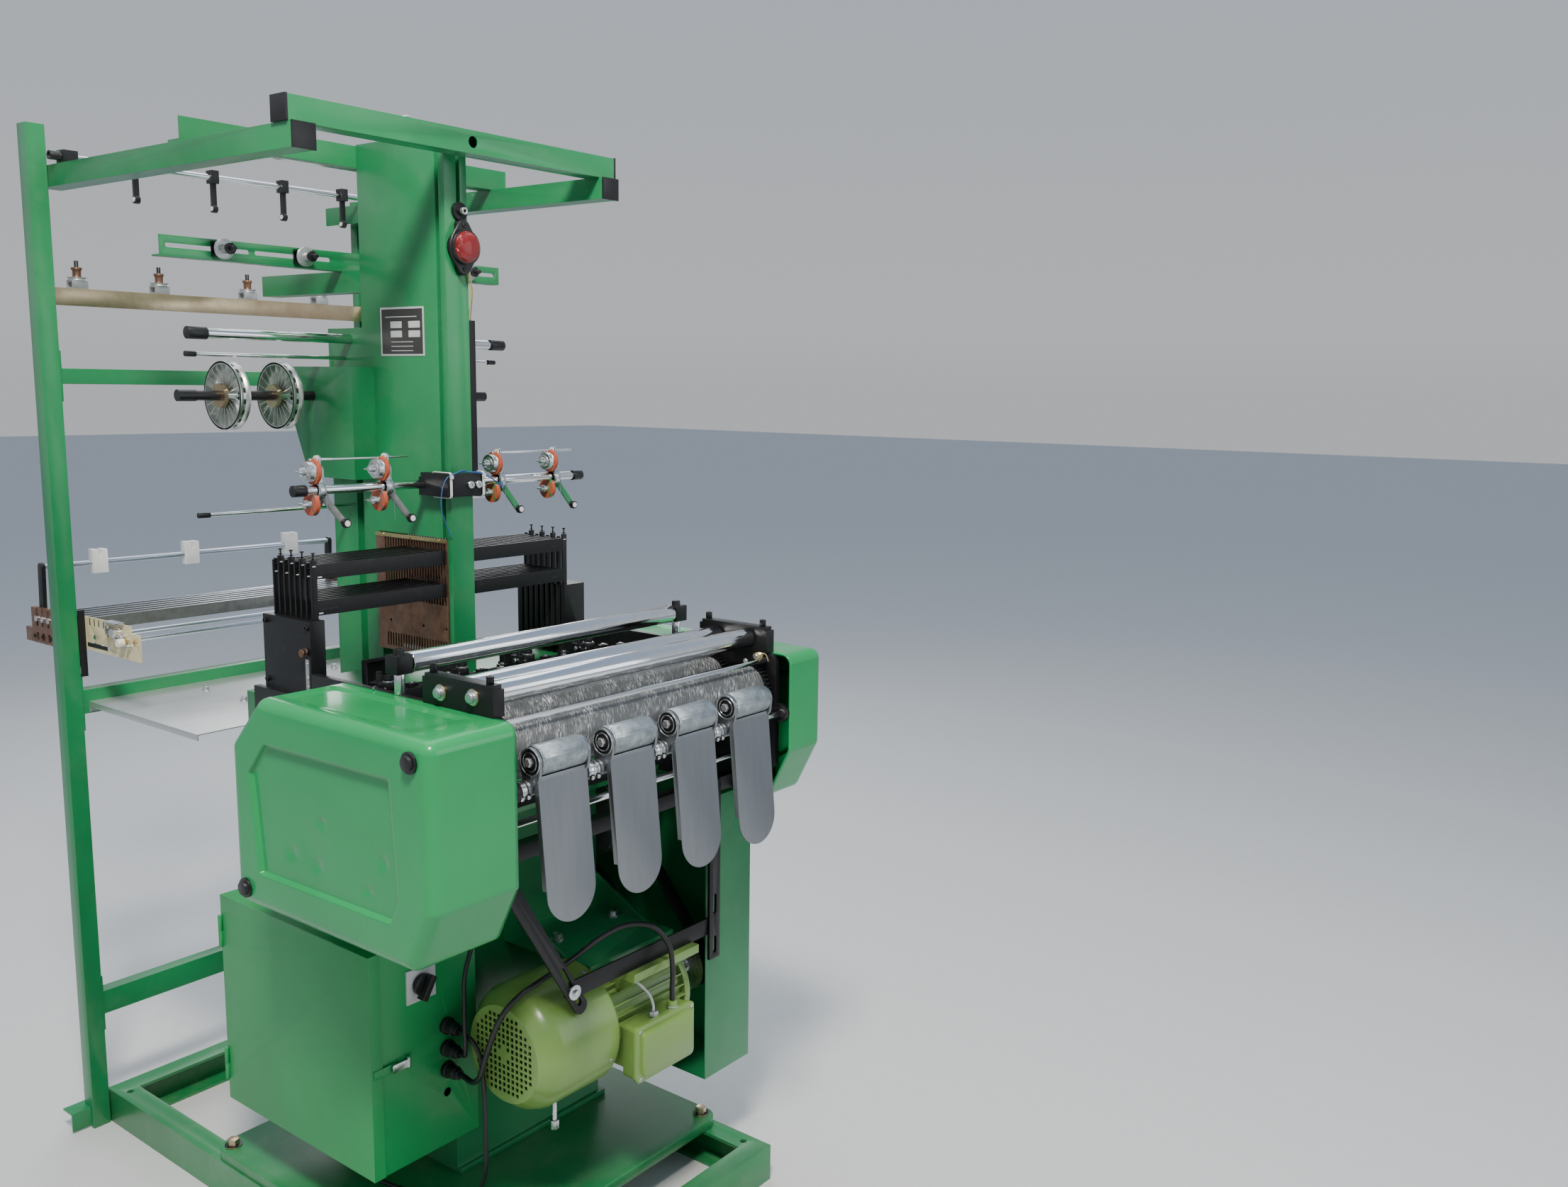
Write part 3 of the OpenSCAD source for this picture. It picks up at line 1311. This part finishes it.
// Fixed knuckles of the door's hinge and the base of its catch
module cabinet_trim() {
    for (z = hinge_z) difference() {
        union() {
            bar_z(hinge_x, cab_y1, z + 30 + gap, z + 60, hinge_r);
            block(hinge_x, cab_x0 + 14, cab_y1, cab_y1 + 2, z + 30 + gap, z + 60);
        }
        bar_z(hinge_x, cab_y1, z, z + 61, hinge_pin_r + run);
    }
    block(latch_x + 12, latch_x + 42, cab_y0 - 1.5, cab_y0, latch_z - 11, latch_z + 11);
    for (z = [latch_z - 11, latch_z + 9]) block(latch_x + 28, latch_x + 36, cab_y0 - 8, cab_y0 - 1.5, z, z + 2);
    bar_z(latch_x + 32, cab_y0 - 6, latch_z - 9.5, latch_z + 9.5, 1.5);
}
// Door: side panel with a folded front edge, hinge knuckles with their pins, and the strap of the catch
module cabinet_door() {
    x0 = cab_x0 - cab_t - gap;
    color(green) {
        difference() {
            block(x0, cab_x0 - gap, cab_y0 - cab_t - gap, cab_y1, cab_z0, cab_z1);
            for (z = hinge_z) block(x0 - 1, cab_x0, cab_y1 - hinge_r - 1, cab_y1 + 1, z - 1, z + 61);
        }
        block(cab_x0 - gap, cab_x0 + cab_lip, cab_y0 - cab_t - gap, cab_y0 - gap, cab_z0, cab_z1);
        for (z = hinge_z) {
            block(x0, cab_x0 - gap, cab_y1 - hinge_r - 2, cab_y1 - 1, z, z + 30);
            bar_z(hinge_x, cab_y1, z, z + 30, hinge_r);
            bar_z(hinge_x, cab_y1, z + 30, z + 60, hinge_pin_r);
        }
    }
    color(bright) block(cab_x0 + 2, latch_x + 8, cab_y0 - cab_t - gap - 2, cab_y0 - cab_t - gap,
        latch_z - 8, latch_z + 8);
}
// Lever of the door's catch, on the pin of its base
module door_latch() {
    y = cab_y0 - 6;
    color(bright) difference() {
        union() {
            bar_z(latch_x + 32, y, latch_z - 8.7, latch_z + 8.7, 3);
            block(latch_x - 2, latch_x + 32, y - 3, y - 1.6, latch_z - 7, latch_z + 7);
        }
        bar_z(latch_x + 32, y, latch_z - 9, latch_z + 9, 1.5 + run);
    }
}
module switch_knob() {
    color(black) {
        bar_y(switch_x, cab_y0 - 12, cab_y0 - 3 - gap, switch_z, 19);
        translate([switch_x, cab_y0 - 12, switch_z]) rotate([0, 30, 0])
            translate([-6, -16, -24]) cube([12, 16, 44]);
        bar_y(switch_x, cab_y0 - 4, cab_y0 + 6, switch_z, 6 - run);
    }
}
module cable_glands() {
    color(black) for (z = gland_z) difference() {
        union() {
            bar_y(gland_x, cab_y0 - 8, cab_y0, z, gland_r + 3);
            bar_y(gland_x, cab_y0 - 26, cab_y0 - 8, z, gland_r);
            bar_y(gland_x, cab_y0 - 35, cab_y0 - 26, z, gland_r - 3);
            bar_y(gland_x, cab_y0, cab_y0 + 10, z, 8 - run);
        }
        bar_y(gland_x, cab_y0 - 36, cab_y0 + 11, z, 3);
    }
    color(black) bar_z(-242, -10, cab_z0 - 8, cab_z0, 8);
}

// Warp stop motion: end combs, black straps, drilled plates, contact bars and the rail with blocks
module stop_ends() {
    color(copper) for (s = [-1, 1]) side_copy(s) along_x(post_x - stop_t, post_x) difference() {
        union() {
            translate([stop_y0, stop_z0]) square([stop_y1 - stop_y0, stop_z1 - stop_z0]);
            translate([stop_y0, stop_z0]) square([stop_y2 - stop_y0, stop_mid_z - stop_z0]);
        }
        for (j = [0 : stop_bars_n - 1]) translate([stop_y0 + 12 + j * stop_pitch, 0]) {
            translate([0, stop_mid_z + 6]) square([stop_bar_t, stop_z1]);
            translate([0, stop_z0 + 6]) square([stop_bar_t, 16]);
        }
    }
    color(cream) for (s = [-1, 1]) side_copy(s) along_x(post_x - strap_t - cream_t, post_x - strap_t)
        difference() {
            union() {
                translate([cream_y0, cream_z0]) square([right_post_y - cream_y0, cream_z1 - cream_z0 - 14]);
                translate([cream_y0 + 34, cream_z0]) square([right_post_y - cream_y0 - 34, cream_z1 - cream_z0]);
            }
            slot_2d([cream_y0 + 123, cream_z0 + 12], [cream_y0 + 203, cream_z0 + 12], 4);
            for (y = [18, 48, 78, 118]) translate([cream_y0 + y, cream_z0 + 38]) circle(3);
            for (z = stop_rod_z) translate([stop_rod_y, z]) circle(5);
        }
    color(black) for (s = [-1, 1]) side_copy(s) {
        block(post_x - strap_t, post_x, left_post_y - 3, left_post_y, strap_z0, strap_z1);
        block(post_x - 4, post_x, left_post_y, stop_y0, strap_z0 + 20, strap_z1 - 10);
    }
}
// Turns a shape at the right side over to the left one
module side_copy(s) {
    if (s > 0) children();
    else mirror([1, 0, 0]) children();
}
module stop_bars() {
    span = post_x - stop_t;
    color(zinc) {
        for (j = [0 : stop_bars_n - 1]) let (y = stop_y0 + 12 + j * stop_pitch)
            block(-post_x + 2, post_x - 2, y + gap, y + stop_bar_t - gap, stop_mid_z + 6, stop_z1 - 12);
        for (z = stop_rod_z) bar_x(-post_x + strap_t, post_x - strap_t, stop_rod_y, z, 5 - run);
        for (s = [-1, 1]) side_copy(s) along_x(span - 8, span) slot_2d([block_rail_y + 6, stop_z1 - 24],
            [block_rail_y, block_rail_z], 9);
        bar_x(-span, span, block_rail_y, block_rail_z, 6);
        for (x = block_x) difference() {
            block(x - 15, x + 15, block_rail_y - 12, block_rail_y + 12, block_rail_z - 22, block_rail_z + 28);
            block(x - 4, x + 4, block_rail_y - 13, block_rail_y + 13, block_rail_z + 12, block_rail_z + 29);
        }
    }
}
// Sheet tray in front of the tray rail, with a notch round the column, folded edges and two arms
module tray() {
    x1 = tray_w / 2;
    color(zinc) {
        difference() {
            block(-x1, x1, tray_y0, rail_y, tray_z - tray_t, tray_z);
            block(col_x0 - 40, col_x1 + 40, tray_y0 - 1, rear_y1 + 12, tray_z - tray_t - 1, tray_z + 1);
        }
        for (x = [-x1, x1 - tray_t]) block(x, x + tray_t, tray_y0, rail_y, tray_z - 12, tray_z - tray_t);
        block(-x1, x1, rail_y - tray_t, rail_y, tray_z - 22, tray_z - tray_t);
    }
    color(black) for (x = [-150, 158]) block(x, x + 24, case_y1, rail_y - tray_t, tray_z - tray_t - 8, tray_z - tray_t);
}

// Bolts, screws, knobs and the lifting eye
module fasteners() {
    color(zinc) {
        for (i = [-1, 1], y = [plate_y0 + plate_bolt_in, plate_y1 - plate_bolt_in])
            hex_z(i * plate_bolt_x, y, plate_z, 19, 11, 16);
        for (x = [53, 200]) hex_z(x, -330, bracket_z + bracket_t, 17, 9, 13);
        for (x = [60, 200]) hex_z(x, -512, bracket_z + 10, 13, 10, 3.5);
        for (x = [-138, 170], y = [376, 520]) hex_z(x, y, tray_z, 10, 5, 8);
        bar_y(-97, hang_y - 4, hang_y, 532, 13);
        bar_y(-97, hang_y - 10, hang_y - 4, 532, 6);
        for (y = [roller1_y, roller2_y], s = [-1, 1])
            side_bolt(s, y, y == roller1_y ? roller1_z : roller2_z);
        lifting_eye();
        bar_z(-52, motor_y, 240, motor_z - fan_r, 4);
        translate([-52, motor_y, 227]) cylinder(r = 8, h = 16, $fn = 6);
    }
    color(black) {
        for (x = mid_post_x, y = [block_y0 + 18, block_y1 - 14])
            cap_z(x, y, block_z, 6);
        for (p = [[cover_y0 + 39, cover_z1 - 32], [cover_y1 - 31, cover_z0 + 30]]) cover_knob(-1, cover_lx - cover_l_depth, p);
        for (p = [[cover_y0 + 39, cover_z1 - 32], [cover_y1 - 31, cover_r_z0 + 30]]) cover_knob(1, cover_rx + cover_r_depth, p);
    }
}
module side_bolt(s, y, z) {
    x = s < 0 ? out_x0 - (block_t - side_t) / 2 : out_x1 + (block_t - side_t) / 2;
    bar_x(s < 0 ? x - 3 : x, s < 0 ? x : x + 3, y, z, 12);
    bar_x(s < 0 ? x - 10 : x + 3, s < 0 ? x - 3 : x + 10, y, z, 7);
}
module cover_knob(s, x, p) {
    bar_x(s < 0 ? x - 4 : x, s < 0 ? x : x + 4, p[0], p[1], 16);
    bar_x(s < 0 ? x - 9 : x + 4, s < 0 ? x - 4 : x + 9, p[0], p[1], 11);
}
module lifting_eye() {
    translate([col_mid, 0, column_top]) {
        cylinder(r = 15, h = 5);
        translate([0, 0, 24]) rotate([90, 0, 0]) rotate_extrude() translate([16, 0]) circle(4.5, $fn = 24);
    }
}

module motor_cable() { color(black) swept_tube(motor_route, motor_cable_r); }
module sensor_cable() { color(black) swept_tube(sensor_route, sensor_cable_r); }
module floor_cable() { color(black) swept_tube(floor_route, floor_cable_r); }

base_frame();
base_plate();
pedestal();
gear_case();
rear_frame();
top_beams();
end_caps();
fasteners();
column();
guide_plates();
column_fittings();
lamp_lens();
yarn_rail();
yarn_tensioners();
chrome_rods();
column_brackets();
feed_wheels();
feed_units();
head_frame();
take_up_bars();
middle_roller();
front_roller_1();
front_roller_2();
drum_front();
drum_rear();
press_arm_1();
press_arm_2();
press_arm_3();
press_arm_4();
press_roller_1();
press_roller_2();
press_roller_3();
press_roller_4();
cover_left();
cover_right();
heald_frames_odd();
heald_frames_even();
sley();
weft_needle_1();
weft_needle_2();
weft_needle_3();
weft_needle_4();
cabinet_box();
cabinet_door();
door_latch();
switch_knob();
cable_glands();
motor_body();
fan_cover();
motor_rotor();
motor_hanger();
belt_guard();
drive_belt();
main_pulley();
stop_ends();
stop_bars();
tray();
motor_cable();
sensor_cable();
floor_cable();
